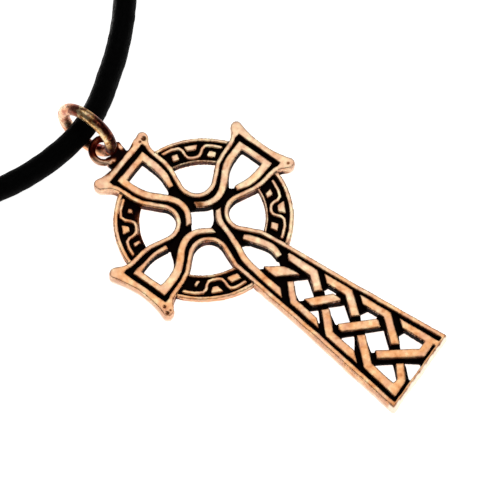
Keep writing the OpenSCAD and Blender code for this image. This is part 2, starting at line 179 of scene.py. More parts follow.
# Materials
def cast_copper():
    """Copper with a black antique finish, worn bright on the raised work, with painted shade along the edges
    of the raised work, painted floor light low on the outer walls and painted highlights on the loop.
    """
    material, tree, shader = new_material("cast_copper")
    place = millimetres(tree)
    depth = attribute(tree, "depth")
    openness = attribute(tree, "openness")
    enclosed = attribute(tree, "enclosed")
    outer_wall = attribute(tree, "outer_wall")
    stain = attribute(tree, "stain")

    broad = noise_value(tree, place, 0.35, 2)
    elsewhere = node(tree, "ShaderNodeMapping", {"Vector": place, "Location": (40, 0, 0)}).outputs[0]
    rosy = noise_value(tree, elsewhere, 0.45, 2)
    mottle = noise_value(tree, place, 1.0, 4, 0.55)
    speckle = noise_value(tree, place, 5.5, 3, 0.65)

    orange = colour_ramp(tree, mottle, [
        (0.3, rgb(0.6, 0.22, 0.08)), (0.43, rgb(0.85, 0.4, 0.17)),
        (0.56, rgb(0.93, 0.5, 0.24)), (0.66, rgb(1, 0.68, 0.36)),
    ])
    pale = colour_ramp(tree, mottle, [
        (0.3, rgb(0.68, 0.35, 0.2)), (0.43, rgb(0.86, 0.55, 0.35)),
        (0.56, rgb(0.94, 0.7, 0.45)), (0.66, rgb(1, 0.86, 0.54)),
    ])
    drift = calc(tree, "MULTIPLY", calc(tree, "SUBTRACT", broad, 0.5), 2.4)
    paleness = remap(tree, calc(tree, "ADD", attribute(tree, "tone"), drift), 0, 1)
    bright = mix_colour(tree, paleness, orange, pale)
    rosy = calc(tree, "MAXIMUM", remap(tree, rosy, 0.48, 0.66, 0, 0.5), attribute(tree, "tip"))
    bright = mix_colour(tree, rosy, bright, rgb(0.82, 0.46, 0.31))
    worn = remap(tree, speckle, 0.63, 0.76, 0, 0.6)
    bright = mix_colour(tree, worn, bright, rgb(0.42, 0.19, 0.09))
    ruddy = colour_ramp(tree, mottle, [
        (0.34, rgb(0.25, 0.02, 0.02)), (0.5, rgb(0.6, 0.08, 0.05)), (0.64, rgb(0.95, 0.4, 0.26)),
    ])
    bright = mix_colour(tree, attribute(tree, "ruddy"), bright, ruddy)
    drawn = node(tree, "ShaderNodeMapping", {"Vector": place, "Scale": (0.5, 0.5, 5)}).outputs["Vector"]
    streak = remap(tree, noise_value(tree, drawn, 1.3, 3, 0.6), 0.42, 0.6, 0, 0.75)
    bright = mix_colour(tree, calc(tree, "MULTIPLY", streak, outer_wall), bright, rgb(0.46, 0.24, 0.15))
    # Painted floor light: the outer walls are made pale cream low down and at the foot
    painted_floor_light = calc(tree, "MULTIPLY", attribute(tree, "painted_floor_light"), 0.75)
    bright = mix_colour(tree, painted_floor_light, bright, rgb(1, 0.88, 0.74))

    # Painted shade: a thin dark brown line along the edges of the raised work
    painted_edge_shade = calc(tree, "MULTIPLY", attribute(tree, "edge"), remap(tree, mottle, 0.35, 0.62, 0.95, 0.45))
    bright = mix_colour(tree, painted_edge_shade, bright, rgb(0.3, 0.12, 0.06))

    ragged = calc(tree, "MULTIPLY", calc(tree, "SUBTRACT", speckle, 0.5), 0.16)
    deep = remap(tree, calc(tree, "ADD", depth, ragged), 0.12, 0.34)
    sheltered = remap(tree, calc(tree, "ADD", openness, calc(tree, "MULTIPLY", ragged, 1.2)), 0.93, 0.55)
    walled = calc(tree, "ADD", enclosed, calc(tree, "MULTIPLY", calc(tree, "SUBTRACT", mottle, 0.5), 0.9))
    walled = calc(tree, "MULTIPLY", remap(tree, enclosed, 0, 0.2), walled)
    sheltered = calc(tree, "MAXIMUM", sheltered, walled)
    dark = calc(tree, "MAXIMUM", calc(tree, "MULTIPLY", deep, sheltered), stain)

    colour = colour_ramp(tree, dark, [
        (0.0, rgb(1, 1, 1)), (0.3, rgb(0.55, 0.36, 0.24)),
        (0.62, rgb(0.1, 0.03, 0.02)), (0.9, rgb(0.006, 0.002, 0.002)),
    ])
    colour = mix_colour(tree, 1.0, bright, colour, "MULTIPLY")
    roughness = remap(tree, dark, 0, 1, 0.3, 0.62)
    grain = calc(tree, "ADD", calc(tree, "MULTIPLY", speckle, 0.7), noise_value(tree, place, 14, 2))
    connect(
        tree, shader, Base_Color=colour, Metallic=remap(tree, dark, 0.5, 0.85, 1, 0), Roughness=roughness,
        Specular_IOR_Level=0.03, Normal=bump(tree, grain, 0.25, 0.03 * MM),
    )
    return material


def copper_wire():
    """Wire of the jump ring: pink and speckled at its far end, with a painted gold highlight on top, a
    painted dark reflection along its far side and towards the loop, painted shade and red reflection inside
    the loop, and a painted orange highlight on its underside by the loop.
    """
    material, tree, shader = new_material("copper_wire")
    place = millimetres(tree)
    mottle = noise_value(tree, place, 1.3, 3, 0.6)
    speckle = noise_value(tree, place, 4.0, 3, 0.7)
    uneven = calc(tree, "SUBTRACT", mottle, 0.5)
    turn = calc(tree, "ADD", attribute(tree, "turn"), calc(tree, "MULTIPLY", uneven, 70))
    outward = calc(tree, "ADD", attribute(tree, "outward"), calc(tree, "MULTIPLY", uneven, 1.5))
    aside = attribute(tree, "aside")
    across = calc(tree, "ADD", aside, calc(tree, "MULTIPLY", uneven, 1.4))

    pink = colour_ramp(tree, mottle, [
        (0.34, rgb(0.55, 0.18, 0.1)), (0.5, rgb(0.98, 0.52, 0.3)), (0.62, rgb(1, 0.82, 0.58)),
    ])
    # The painted gold highlight for the top of the wire
    gold_highlight = colour_ramp(tree, mottle, [
        (0.38, rgb(0.3, 0.11, 0.03)), (0.48, rgb(0.82, 0.47, 0.18)), (0.58, rgb(1, 0.77, 0.45)),
    ])
    maroon = colour_ramp(tree, mottle, [
        (0.42, rgb(0.03, 0.004, 0.004)), (0.56, rgb(0.12, 0.022, 0.012)), (0.68, rgb(0.45, 0.15, 0.06)),
    ])
    scarlet = colour_ramp(tree, mottle, [
        (0.42, rgb(0.16, 0.004, 0.008)), (0.52, rgb(0.5, 0.03, 0.025)), (0.62, rgb(1, 0.36, 0.16)),
    ])
    patch = calc(tree, "MULTIPLY", remap(tree, turn, 134, 146), remap(tree, outward, -0.3, 0.2, 0, 0.85))
    colour = mix_colour(tree, patch, pink, rgb(0.2, 0.03, 0.02))
    # From the top round towards the loop, the wire is painted with the gold highlight
    colour = mix_colour(tree, remap(tree, turn, 160, 170), colour, gold_highlight)
    spots = remap(tree, speckle, 0.57, 0.66, 0, 0.75)
    colour = mix_colour(tree, spots, colour, rgb(0.22, 0.06, 0.025))
    # A painted dark reflection along the far side of the wire
    dark_reflection_strip = calc(tree, "MULTIPLY", remap(tree, across, -0.8, -0.4), remap(tree, aside, 0.97, 0.85))
    dark_reflection_strip = calc(tree, "MULTIPLY", dark_reflection_strip, remap(tree, turn, 180, 198))
    colour = mix_colour(tree, dark_reflection_strip, colour, maroon)
    # Painted dark reflection on the wire towards the loop, then painted shade and red reflection where it
    # passes inside the loop
    colour = mix_colour(tree, remap(tree, turn, 250, 268), colour, maroon)
    colour = mix_colour(tree, remap(tree, turn, 272, 286), colour, scarlet)
    colour = mix_colour(tree, remap(tree, turn, 325, 340), colour, rgb(0.3, 0.1, 0.07))
    # A painted orange highlight on the underside of the wire by the loop
    by_loop = remap(tree, attribute(tree, "turn"), 280, 290)
    underside_highlight = calc(tree, "MULTIPLY", remap(tree, aside, -0.45, -0.8), by_loop)
    colour = mix_colour(tree, underside_highlight, colour, rgb(1, 0.5, 0.26))
    connect(
        tree, shader, Base_Color=colour, Metallic=1.0, Roughness=remap(tree, speckle, 0.3, 0.7, 0.24, 0.44),
        Normal=bump(tree, speckle, 0.25, 0.03 * MM),
    )
    return material


def black_leather():
    """Dyed round leather cord, with a fine grain drawn out along the cord and a painted grey highlight in
    patches along one side.
    """
    material, tree, shader = new_material("black_leather")
    place = attribute(tree, "cord_place", "Vector")
    drawn = node(tree, "ShaderNodeMapping", {"Vector": place, "Scale": (1, 1, 0.35)}).outputs["Vector"]
    grain = noise_value(tree, drawn, 5.0, 4, 0.65)
    pores = node(tree, "ShaderNodeTexVoronoi", {"Vector": drawn, "Scale": 6.0}).outputs["Distance"]
    colour = colour_ramp(tree, grain, [
        (0.35, rgb(0.0006, 0.0006, 0.0006)), (0.62, rgb(0.0015, 0.0014, 0.0014)),
        (0.78, rgb(0.006, 0.0055, 0.0055)),
    ])
    side = node(tree, "ShaderNodeSeparateXYZ", {"Vector": place}).outputs["X"]
    patchy = remap(tree, noise_value(tree, drawn, 0.35, 2), 0.4, 0.6, 0.25, 0.9)
    # A painted grey highlight in patches along one side of the cord
    painted_highlight = calc(tree, "MULTIPLY", remap(tree, side, 0.9, 1.3), remap(tree, grain, 0.42, 0.6, 0.1, 1))
    colour = mix_colour(tree, calc(tree, "MULTIPLY", painted_highlight, patchy), colour, rgb(0.2, 0.195, 0.19))
    height = calc(tree, "ADD", grain, calc(tree, "MULTIPLY", pores, 0.5))
    connect(
        tree, shader, Base_Color=colour, Roughness=remap(tree, grain, 0.3, 0.7, 0.72, 0.5),
        Specular_IOR_Level=0.03, Normal=bump(tree, height, 0.6, 0.06 * MM),
    )
    return material


def barrel_copper():
    """Satin copper of the barrel, darkened like the ground of the cross."""
    material, tree, shader = new_material("barrel_copper")
    place = millimetres(tree)
    patch = noise_value(tree, place, 0.6, 3, 0.6)
    drawn = node(tree, "ShaderNodeMapping", {"Vector": place, "Scale": (9, 0.3, 0.3)}).outputs[0]
    turned = node(tree, "ShaderNodeTexNoise", {"Vector": drawn, "Scale": 1.0}).outputs[0]
    colour = colour_ramp(tree, patch, [
        (0.32, rgb(0.12, 0.05, 0.03)), (0.5, rgb(0.42, 0.2, 0.1)), (0.68, rgb(0.72, 0.4, 0.22)),
    ])
    connect(
        tree, shader, Base_Color=colour, Metallic=1.0,
        Roughness=remap(tree, turned, 0.35, 0.65, 0.28, 0.45),
        Normal=bump(tree, turned, 0.25, 0.03 * MM),
    )
    return material


def white_paper():
    """The lit white table, bright enough to stay white."""
    material, tree, shader = new_material("white_paper")
    fibre = noise_value(tree, node(tree, "ShaderNodeTexCoord").outputs["Object"], 60, 3)
    connect(
        tree, shader, Base_Color=mix_colour(tree, fibre, rgb(0.86, 0.86, 0.86), rgb(0.9, 0.9, 0.9)),
        Roughness=0.9, Emission_Color=rgb(1, 1, 0.995), Emission_Strength=0.95,
    )
    return material


# Helpers for meshes
def new_object(name, mesh):
    made = bpy.data.objects.new(name, mesh)
    bpy.context.scene.collection.objects.link(made)
    return made


def mesh_from(name, points, faces):
    mesh = bpy.data.meshes.new(name)
    mesh.from_pydata([tuple(p) for p in points], [], [tuple(f) for f in faces])
    mesh.update()
    return mesh


def vertex_array(mesh):
    flat = np.empty(len(mesh.vertices) * 3, np.float32)
    mesh.vertices.foreach_get("co", flat)
    return flat.reshape(-1, 3).astype(float)


def set_vertices(mesh, points):
    mesh.vertices.foreach_set("co", np.asarray(points, np.float32).ravel())
    mesh.update()


def normal_array(mesh):
    flat = np.empty(len(mesh.vertices) * 3, np.float32)
    mesh.vertex_normals.foreach_get("vector", flat)
    return flat.reshape(-1, 3).astype(float)


def evaluated_mesh(obj):
    """The object's mesh with its modifiers applied."""
    depsgraph = bpy.context.evaluated_depsgraph_get()
    return bpy.data.meshes.new_from_object(obj.evaluated_get(depsgraph), depsgraph=depsgraph)


def apply_modifiers(obj):
    mesh = evaluated_mesh(obj)
    obj.modifiers.clear()
    obj.data = mesh
    return obj


def store(mesh, name, values):
    made = mesh.attributes.new(name, "FLOAT", "POINT")
    made.data.foreach_set("value", np.asarray(values, np.float32))


def smooth_shading(mesh):
    mesh.polygons.foreach_set("use_smooth", np.ones(len(mesh.polygons), bool))


def finish_piece(obj, material, slot, *nodes):
    """Gives a finished piece its material, and lets it stand for the CAD nodes."""
    obj.data.materials.clear()
    obj.data.materials.append(material)
    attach(obj, "root")
    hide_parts(*nodes)
    return obj


def lattice_noise(points, cell, seed):
    """Smooth noise from -1 to 1 at the points: random values on a grid, blended between its corners."""
    rng = np.random.default_rng(seed)
    p = points / cell
    p = p - p.min(0)
    whole = np.floor(p).astype(int)
    part = p - whole
    part = part * part * (3 - 2 * part)
    grid = rng.uniform(-1, 1, whole.max(0) + 2)
    total = np.zeros(len(points))
    for corner in np.ndindex(2, 2, 2):
        share = np.prod(np.where(corner, part, 1 - part), axis=1)
        total += share * grid[tuple((whole + corner).T)]
    return total


def smoothstep(value, low, high):
    t = np.clip((value - low) / (high - low), 0, 1)
    return t * t * (3 - 2 * t)


# The cross
VOXEL_MM = 0.1
MAX_TRIANGLES = 188000
MAP_STEP_MM = 0.05
FACE_MM = 1.9
RING_FACE_MM = 1.65
RING_BACK_MM = 0.5
TOP_ROUND_MM = 0.14
# The raised work of the face and of the ring is this much wider than in the frame
FACE_GROWTH_MM = 0.07
RING_GROWTH_MM = 0.1
# Rounding of the back edge at the outer contour and in the holes
BACK_ROUND_MM = 0.2
HOLE_ROUND_MM = 0.45
# The outer walls lean out by this much at the back: at the arms, and at the foot of the shaft
ARM_FLARE_MM = 0.06
FOOT_FLARE_MM = 0.26
RING_BACK_ROUND_MM = 0.28
# How far the dressed surface wanders from the solid, over a broad and a fine cell
WANDER_CELL_MM = 1.9
WANDER_MM = [0.045, 0.045, 0.03]
RIPPLE_CELL_MM = 0.62
RIPPLE_MM = [0.018, 0.018, 0.012]
# Places along the cross, from its centre: the top of the ring's arc, the rim's end at the foot,
# the neck and the loop
RING_TOP_Y_MM = 11.5
FOOT_RIM_Y_MM = -33.1
NECK_Y_MM = 12.75
LOOP_Y_MM = 13.5
LOOP_CENTRE_MM = (-0.3, 15.36)
# Cast pits on the tips of the arms: x and y from the centre of the cross, radius and depth, in mm
PITS_MM = [
    (4.05, 12.4, 0.36, 0.2), (3.4, 12.5, 0.22, 0.1), (-12.3, -3.5, 0.26, 0.12),
    (-12.75, -4.3, 0.3, 0.16), (-12.2, -4.35, 0.18, 0.08), (12.3, -4.1, 0.25, 0.06),
]


def merged_copy(node_name):
    """A CAD node's points in mm and its triangles, with its doubled points merged."""
    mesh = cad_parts[node_name].data
    points = vertex_array(mesh) / MM
    mesh.calc_loop_triangles()
    corners = np.empty(len(mesh.loop_triangles) * 3, int)
    mesh.loop_triangles.foreach_get("vertices", corners)
    _, first, index = np.unique(np.round(points, 4), axis=0, return_index=True, return_inverse=True)
    faces = index.ravel()[corners].reshape(-1, 3)
    whole = (faces[:, 0] != faces[:, 1]) & (faces[:, 1] != faces[:, 2]) & (faces[:, 2] != faces[:, 0])
    return points[first], faces[whole]


class Relief:
    """Maps of the cross seen from above and below, on a fine grid in mm."""

    def __init__(self, points, faces):
        tree = BVHTree.FromPolygons([tuple(p) for p in points], [tuple(map(int, f)) for f in faces])
        margin = 1.0
        self.low = points[:, :2].min(0) - margin
        self.shape = tuple(np.ceil((points[:, :2].max(0) + margin - self.low) / MAP_STEP_MM).astype(int))
        self.top = self.cast(tree, 20.0, -1.0)
        self.base = self.cast(tree, -20.0, 1.0)
        solid = self.top > -1
        raised = (abs(self.top - FACE_MM) < 0.04) | (abs(self.top - RING_FACE_MM) < 0.04)
        plate = solid & (self.base < 0.1)
        self.in_raised = self.signed_distance(raised)
        self.in_plate = self.signed_distance(plate)
        self.in_solid = self.signed_distance(solid)
        self.in_outside = self.signed_distance(self.outside(~solid))

    def cast(self, tree, start, way):
        found = np.full(self.shape, -5.0)
        direction = Vector((0, 0, way))
        for i in range(self.shape[0]):
            x = self.low[0] + (i + 0.5) * MAP_STEP_MM
            for j in range(self.shape[1]):
                y = self.low[1] + (j + 0.5) * MAP_STEP_MM
                hit = tree.ray_cast(Vector((x, y, start)), direction)[0]
                if hit is not None:
                    found[i, j] = hit.z
        return found

    def outside(self, empty):
        """The empty ground that reaches the edge of the map, and so is in no hole."""
        reached = np.zeros(self.shape, bool)
        reached[[0, -1]] = True
        reached[:, [0, -1]] = True
        count = 0
        while reached.sum() > count:
            count = reached.sum()
            for axis in (0, 1):
                for step in (-1, 1):
                    for _ in range(6):
                        reached |= np.roll(reached, step, axis) & empty
        return reached

    def signed_distance(self, mask, reach=0.7):
        """Distance in mm to the edge of the mask, above zero inside it, and at most the reach."""
        inside = np.full(mask.shape, reach)
        outside = np.full(mask.shape, reach)
        cells = int(reach / MAP_STEP_MM)
        for i in range(-cells, cells + 1):
            for j in range(-cells, cells + 1):
                far = (math.hypot(i, j) - 0.5) * MAP_STEP_MM
                if 0 < far < reach:
                    moved = np.roll(mask, (i, j), (0, 1))
                    np.minimum(inside, np.where(moved, reach, far), out=inside)
                    np.minimum(outside, np.where(moved, far, reach), out=outside)
        distance = np.where(mask, inside, -outside)
        for axis in (0, 1):
            distance = (np.roll(distance, 1, axis) + 2 * distance + np.roll(distance, -1, axis)) / 4
        return distance

    def cells(self, x, y):
        i = np.clip(((x - self.low[0]) / MAP_STEP_MM).astype(int), 0, self.shape[0] - 1)
        j = np.clip(((y - self.low[1]) / MAP_STEP_MM).astype(int), 0, self.shape[1] - 1)
        return i, j

    def at(self, grid, points):
        """The map's value at each point, blended between cells."""
        u = (points[:, 0] - self.low[0]) / MAP_STEP_MM - 0.5
        v = (points[:, 1] - self.low[1]) / MAP_STEP_MM - 0.5
        i, j = np.floor(u).astype(int), np.floor(v).astype(int)
        s, t = u - i, v - j
        return (
            grid[i, j] * (1 - s) * (1 - t) + grid[i + 1, j] * s * (1 - t)
            + grid[i, j + 1] * (1 - s) * t + grid[i + 1, j + 1] * s * t
        )

    def inward(self, grid, points):
        """Unit directions in which the map rises fastest."""
        step = 0.1
        slope = np.stack([
            self.at(grid, points + [step, 0, 0]) - self.at(grid, points - [step, 0, 0]),
            self.at(grid, points + [0, step, 0]) - self.at(grid, points - [0, step, 0]),
        ], axis=1)
        return slope / np.maximum(np.linalg.norm(slope, axis=1), 1e-6)[:, None]


def round_edge(points, relief, distances, heights, radius, where):
    """Rounds the edge where a wall meets a level face. Heights are measured away from that face."""
    inside = relief.at(distances, points)
    a = radius - inside
    b = radius - heights
    length = np.hypot(a, b)
    corner = where & (a > 0) & (b > 0) & (length > radius) & (inside > -0.3)
    scale = np.where(corner, radius / np.maximum(length, 1e-6), 1)
    shift = np.where(corner, a - a * scale, 0)
    drop = np.where(corner, b - b * scale, 0)
    moved = points.copy()
    moved[:, :2] += relief.inward(distances, points) * shift[:, None]
    return moved, drop


def remeshed(points, faces):
    """The closed shape of the points and faces as even quads, worked in mm."""
    piece = new_object("cast_cross", mesh_from("cast_cross", points, faces))
    voxels = piece.modifiers.new("voxels", "REMESH")
    voxels.mode = "VOXEL"
    voxels.voxel_size = VOXEL_MM
    return apply_modifiers(piece)


def neighbour_mean(mesh, values):
    edges = np.empty(len(mesh.edges) * 2, int)
    mesh.edges.foreach_get("vertices", edges)
    a, b = edges.reshape(-1, 2).T
    count = np.bincount(a, minlength=len(values)) + np.bincount(b, minlength=len(values))
    total = np.stack([
        np.bincount(a, column[b], len(values)) + np.bincount(b, column[a], len(values))
        for column in values.reshape(len(values), -1).T
    ], axis=1)
    return (total / np.maximum(count, 1)[:, None]).reshape(values.shape)


def soften(mesh, points, rounds, strength=0.5):
    for _ in range(rounds):
        points = points + strength * (neighbour_mean(mesh, points) - points)
        points = points - 0.52 * strength * (neighbour_mean(mesh, points) - points)
    return points


def shape_cross(piece, relief):
    """Gives the bands crisp tops with small round edges, rounds the back and roughens the faces."""
    mesh = piece.data
    p = soften(mesh, vertex_array(mesh), 1)
    base = relief.at(relief.base, p)
    on_ring = (base > 0.3) & (base < 0.7)
    flat_work = (base < 0.7) & (base > -1) & (p[:, 2] < FACE_MM + 0.1)
    face = np.where(on_ring, RING_FACE_MM, FACE_MM)

    inside = relief.at(relief.in_raised, p) + np.where(on_ring, RING_GROWTH_MM, FACE_GROWTH_MM)
    near_top = flat_work & (p[:, 2] > face - 0.35) & (inside > -0.02)
    lean = np.clip(TOP_ROUND_MM - inside, 0, TOP_ROUND_MM)
    round_top = face - TOP_ROUND_MM + np.sqrt(TOP_ROUND_MM ** 2 - lean ** 2)
    dome = 0.04 * np.clip(1 - inside / 0.45, 0, 1) ** 2
    p[:, 2] = np.where(near_top & (inside > 0.04), round_top - dome, p[:, 2])
    wall = flat_work & (p[:, 2] > 1.1) & (abs(inside) < 0.16) & ~near_top
    p[:, :2] -= np.where(wall, inside, 0)[:, None] * relief.inward(relief.in_raised, p)

    beside_outside = relief.at(relief.in_outside, p) > -0.6
    radius = np.where(beside_outside, BACK_ROUND_MM, HOLE_ROUND_MM)
    p, rise = round_edge(p, relief, relief.in_plate, p[:, 2], radius, p[:, 2] < radius)
    p[:, 2] += rise
    above = p[:, 2] - RING_BACK_MM
    low_ring = on_ring & (above < RING_BACK_ROUND_MM)
    p, rise = round_edge(p, relief, relief.in_solid, above, RING_BACK_ROUND_MM, low_ring)
    p[:, 2] += rise

    to_contour = relief.at(relief.in_outside, p)
    flare = ARM_FLARE_MM + (FOOT_FLARE_MM - ARM_FLARE_MM) * smoothstep(-p[:, 1], 5, 24)
    lean = flare * np.clip(1 - p[:, 2] / FACE_MM, 0, 1) * smoothstep(to_contour, -0.5, -0.2)
    p[:, :2] += lean[:, None] * relief.inward(relief.in_outside, p)

    for x, y, radius, deep in PITS_MM:
        away = np.hypot(p[:, 0] - x, p[:, 1] - y - CROSS_Y / MM) / radius
        p[:, 2] -= np.where(p[:, 2] > 1.2, deep * np.clip(1 - away, 0, 1), 0)

    wander = np.stack([lattice_noise(p, WANDER_CELL_MM, seed) for seed in (11, 12, 13)], axis=1)
    ripple = np.stack([lattice_noise(p, RIPPLE_CELL_MM, seed) for seed in (21, 22, 23)], axis=1)
    p += wander * WANDER_MM + ripple * RIPPLE_MM
    p[:, 2] = np.maximum(p[:, 2], 0)
    set_vertices(mesh, p)


def thin_out(piece):
    """Brings the piece under the limit on triangles."""
    triangles = sum(len(face.vertices) - 2 for face in piece.data.polygons)
    if triangles > MAX_TRIANGLES:
        thinner = piece.modifiers.new("thinner", "DECIMATE")
        thinner.ratio = MAX_TRIANGLES / triangles
        apply_modifiers(piece)


def sky_openness(points, normals, relief):
    """How far each point is open to its surroundings, from 0 in a narrow slot to 1 on an open face."""
    start = points + normals * 0.07
    steps = (0.12, 0.2, 0.32, 0.48, 0.7, 1.0, 1.4, 1.9, 2.5)
    total = np.zeros(len(points))
    weight = np.zeros(len(points))
    for turn in np.arange(16) * math.tau / 16:
        way = np.array([math.cos(turn), math.sin(turn)])
        facing = np.clip(normals[:, :2] @ way + np.abs(normals[:, 2]), 0, 1)
        steepest = np.zeros(len(points))
        for far in steps:
            i, j = relief.cells(start[:, 0] + way[0] * far, start[:, 1] + way[1] * far)
            steepest = np.maximum(steepest, (relief.top[i, j] - start[:, 2]) / far)
        total += facing * (1 - np.sin(np.arctan(steepest)))
        weight += facing
    return total / np.maximum(weight, 1e-6)


def worn_marks(x, y, blotch):
    """Brown marks on the faces: pits, two cracks in the head arm's rim and the rough end of a band."""
    marks = np.zeros(len(x))
    for pit_x, pit_y, radius, _ in PITS_MM:
        off = np.hypot(x - pit_x, y - pit_y)
        marks = np.maximum(marks, 0.55 - 0.55 * smoothstep(off, 0.1 * radius, 1.1 * radius))
    for crack_x in (1.16, 0.03):
        off = abs(x - crack_x - 0.35 * (y - 12.4))
        marks = np.maximum(marks, (0.6 - 0.6 * smoothstep(off, 0.03, 0.13)) * (abs(y - 12.45) < 0.42))
    rough_end = 1 - smoothstep(np.hypot((x - 0.95) * 0.8, (y - 1.35) * 0.8), 0.5, 0.95)
    return np.maximum(marks, rough_end * 0.6 * smoothstep(blotch, 0.35, 0.75))


def mark_finish(piece, relief):
    """Stores where the black finish stays, where the outer walls are and how pale the metal is, with painted
    shade along the edges of the raised work, painted floor light on the outer walls and painted highlights
    on the loop and the shoulder beside the neck.
    """
    mesh = piece.data
    p = vertex_array(mesh)
    n = normal_array(mesh)
    base = relief.at(relief.base, p)
    y = p[:, 1] - CROSS_Y / MM
    on_ring = (base > 0.3) & (base < 0.7) & (y < RING_TOP_Y_MM)
    depth = np.where(on_ring, RING_FACE_MM, FACE_MM) - p[:, 2]
    openness = sky_openness(p, n, relief)
    openness = np.where(n[:, 2] < -0.3, np.maximum(openness, 0.9), openness)
    for _ in range(2):
        openness = 0.5 * openness + 0.5 * neighbour_mean(mesh, openness)
    wall = 1 - smoothstep(abs(n[:, 2]), 0.45, 0.8)
    beside_outside = smoothstep(relief.at(relief.in_outside, p), -0.6, -0.35)
    inside = relief.at(relief.in_raised, p) + np.where(on_ring, RING_GROWTH_MM, FACE_GROWTH_MM)
    # A thin painted shade along the edges of the raised work, weaker beside the outer contour except at the
    # foot
    edge = (1 - smoothstep(inside, 0.05, 0.24)) * smoothstep(inside, -0.2, -0.05)
    edge = edge * (1 - smoothstep(depth, 0.15, 0.5)) * (1 - smoothstep(y, LOOP_Y_MM - 0.3, LOOP_Y_MM + 0.1))
    at_foot = 1 - smoothstep(y, FOOT_RIM_Y_MM, FOOT_RIM_Y_MM + 0.3)
    by_contour = smoothstep(relief.at(relief.in_outside, p), -0.5, -0.25) * (1 - at_foot)
    edge = edge * (1 - 0.85 * by_contour)
    across = np.minimum(abs(p[:, 0]), abs(y))
    in_quarter = smoothstep(across, 1.8, 2.1) * (np.hypot(p[:, 0], y) < 8.3)
    enclosed = wall * (1 - beside_outside) * (1 - 0.32 * in_quarter)
    tone = 0.6 + 0.04 * p[:, 0] - 0.0008 * y * y
    by_neck = 1 - smoothstep(abs(p[:, 0]), 2.4, 2.8)
    neck = by_neck * smoothstep(y, NECK_Y_MM, NECK_Y_MM + 0.25) * (1 - smoothstep(y, 13.9, 14.5))
    loop = smoothstep(y, LOOP_Y_MM, LOOP_Y_MM + 0.6)
    loop_x, loop_y = p[:, 0] - LOOP_CENTRE_MM[0], y - LOOP_CENTRE_MM[1]
    loop_r = np.hypot(loop_x, loop_y)
    # A painted highlight on the lower outer side of the loop
    lit_side = smoothstep(-0.8 * loop_x - 0.6 * loop_y, 0.8, 1.4) * smoothstep(loop_r, 1.3, 1.5)
    lit_side = lit_side * (1 - smoothstep(loop_r, 1.95, 2.1))
    # A painted pale highlight on the shoulder beside the neck
    shoulder_highlight = (1 - smoothstep(np.hypot(p[:, 0] - 1.35, (y - 13.95) * 0.9), 0.2, 0.42)) * (p[:, 2] > 1.8)
    blotch = 0.5 + 0.5 * lattice_noise(p, 0.8, 31)
    stain = np.maximum(neck * (0.8 + 0.2 * blotch), loop * (0.35 + 0.45 * blotch))
    # Where highlights are painted, on the loop's lit side and the shoulder, the stain, the red and the
    # darkening in the hollows are cleared
    painted_highlight = np.maximum(lit_side, shoulder_highlight)
    stain = stain * (1 - painted_highlight)
    stain = np.maximum(stain, worn_marks(p[:, 0], y, blotch))
    tip = 0.55 * smoothstep(np.hypot(p[:, 0], y), 12.3, 13.6) * (y > -9)
    store(mesh, "edge", edge)
    store(mesh, "tip", tip)
    store(mesh, "ruddy", 0.9 * loop * (1 - shoulder_highlight) * (1 - lit_side))
    # The loop's painted highlight is stored as extra paleness
    store(mesh, "tone", tone + lit_side * loop)
    store(mesh, "outer_wall", wall * beside_outside)
    # Where floor light is painted on the outer walls: low down, and all over at the foot
    painted_floor_light = np.maximum(1 - smoothstep(p[:, 2], 0.2, 0.9), at_foot)
    store(mesh, "painted_floor_light", wall * beside_outside * painted_floor_light)
    store(mesh, "enclosed", enclosed)
    store(mesh, "depth", depth * (1 - painted_highlight))
    store(mesh, "openness", openness)
    store(mesh, "stain", stain)


def make_cross():
    points, faces = merged_copy("cross")
    relief = Relief(points, faces)
    piece = remeshed(points, faces)
    shape_cross(piece, relief)
    thin_out(piece)
    mark_finish(piece, relief)
    set_vertices(piece.data, vertex_array(piece.data) * MM)
    smooth_shading(piece.data)
    return finish_piece(piece, cast_copper(), "cast_copper", "cross")


# Helpers for Geometry Nodes
def geometry_tree(name, **sizes):
    """A tree whose named inputs are the sizes and a finish, with the node for its inputs."""
    tree = bpy.data.node_groups.new(name, "GeometryNodeTree")
    tree.interface.new_socket("Geometry", in_out="INPUT", socket_type="NodeSocketGeometry")
    tree.interface.new_socket("Geometry", in_out="OUTPUT", socket_type="NodeSocketGeometry")
    for size, value in sizes.items():
        kind = "NodeSocketInt" if isinstance(value, int) else "NodeSocketFloat"
        tree.interface.new_socket(size, in_out="INPUT", socket_type=kind)
    tree.interface.new_socket("Finish", in_out="INPUT", socket_type="NodeSocketMaterial")
    start = tree.nodes.new("NodeGroupInput")
    return tree, start.outputs


def named_attribute(tree, name, kind):
    """A stored attribute, read inside a geometry tree."""
    return node(tree, "GeometryNodeInputNamedAttribute", {"Name": name}, data_type=kind).outputs[0]


def end_tree(tree, geometry, finish):
    """Every tree ends in Realize Instances and Set Material."""
    real = node(tree, "GeometryNodeRealizeInstances", {"Geometry": geometry})
    made = node(tree, "GeometryNodeSetMaterial", {"Geometry": real.outputs[0], "Material": finish})
    out = tree.nodes.new("NodeGroupOutput")
    tree.links.new(made.outputs[0], out.inputs[0])


def run_tree(name, tree, mesh, material, **sizes):
    """Runs the tree on the mesh and returns the result as a plain object."""
    source = new_object(name, mesh)
    modifier = source.modifiers.new(name, "NODES")
    modifier.node_group = tree
    sockets = {item.name: item.identifier for item in tree.interface.items_tree if item.in_out == "INPUT"}
    for size, value in sizes.items():
        modifier[sockets[size]] = value
    modifier[sockets["Finish"]] = material
    return apply_modifiers(source)


# The jump ring
JUMP_R = 3.65 * MM
JUMP_WIRE = 1.5 * MM
JUMP_LEAN = math.radians(5)
JUMP_TURN = math.radians(1.5)
JUMP_X = -0.12 * MM
JUMP_Y = 18 * MM + CROSS_Y
JUMP_SPLIT = math.radians(2.2)


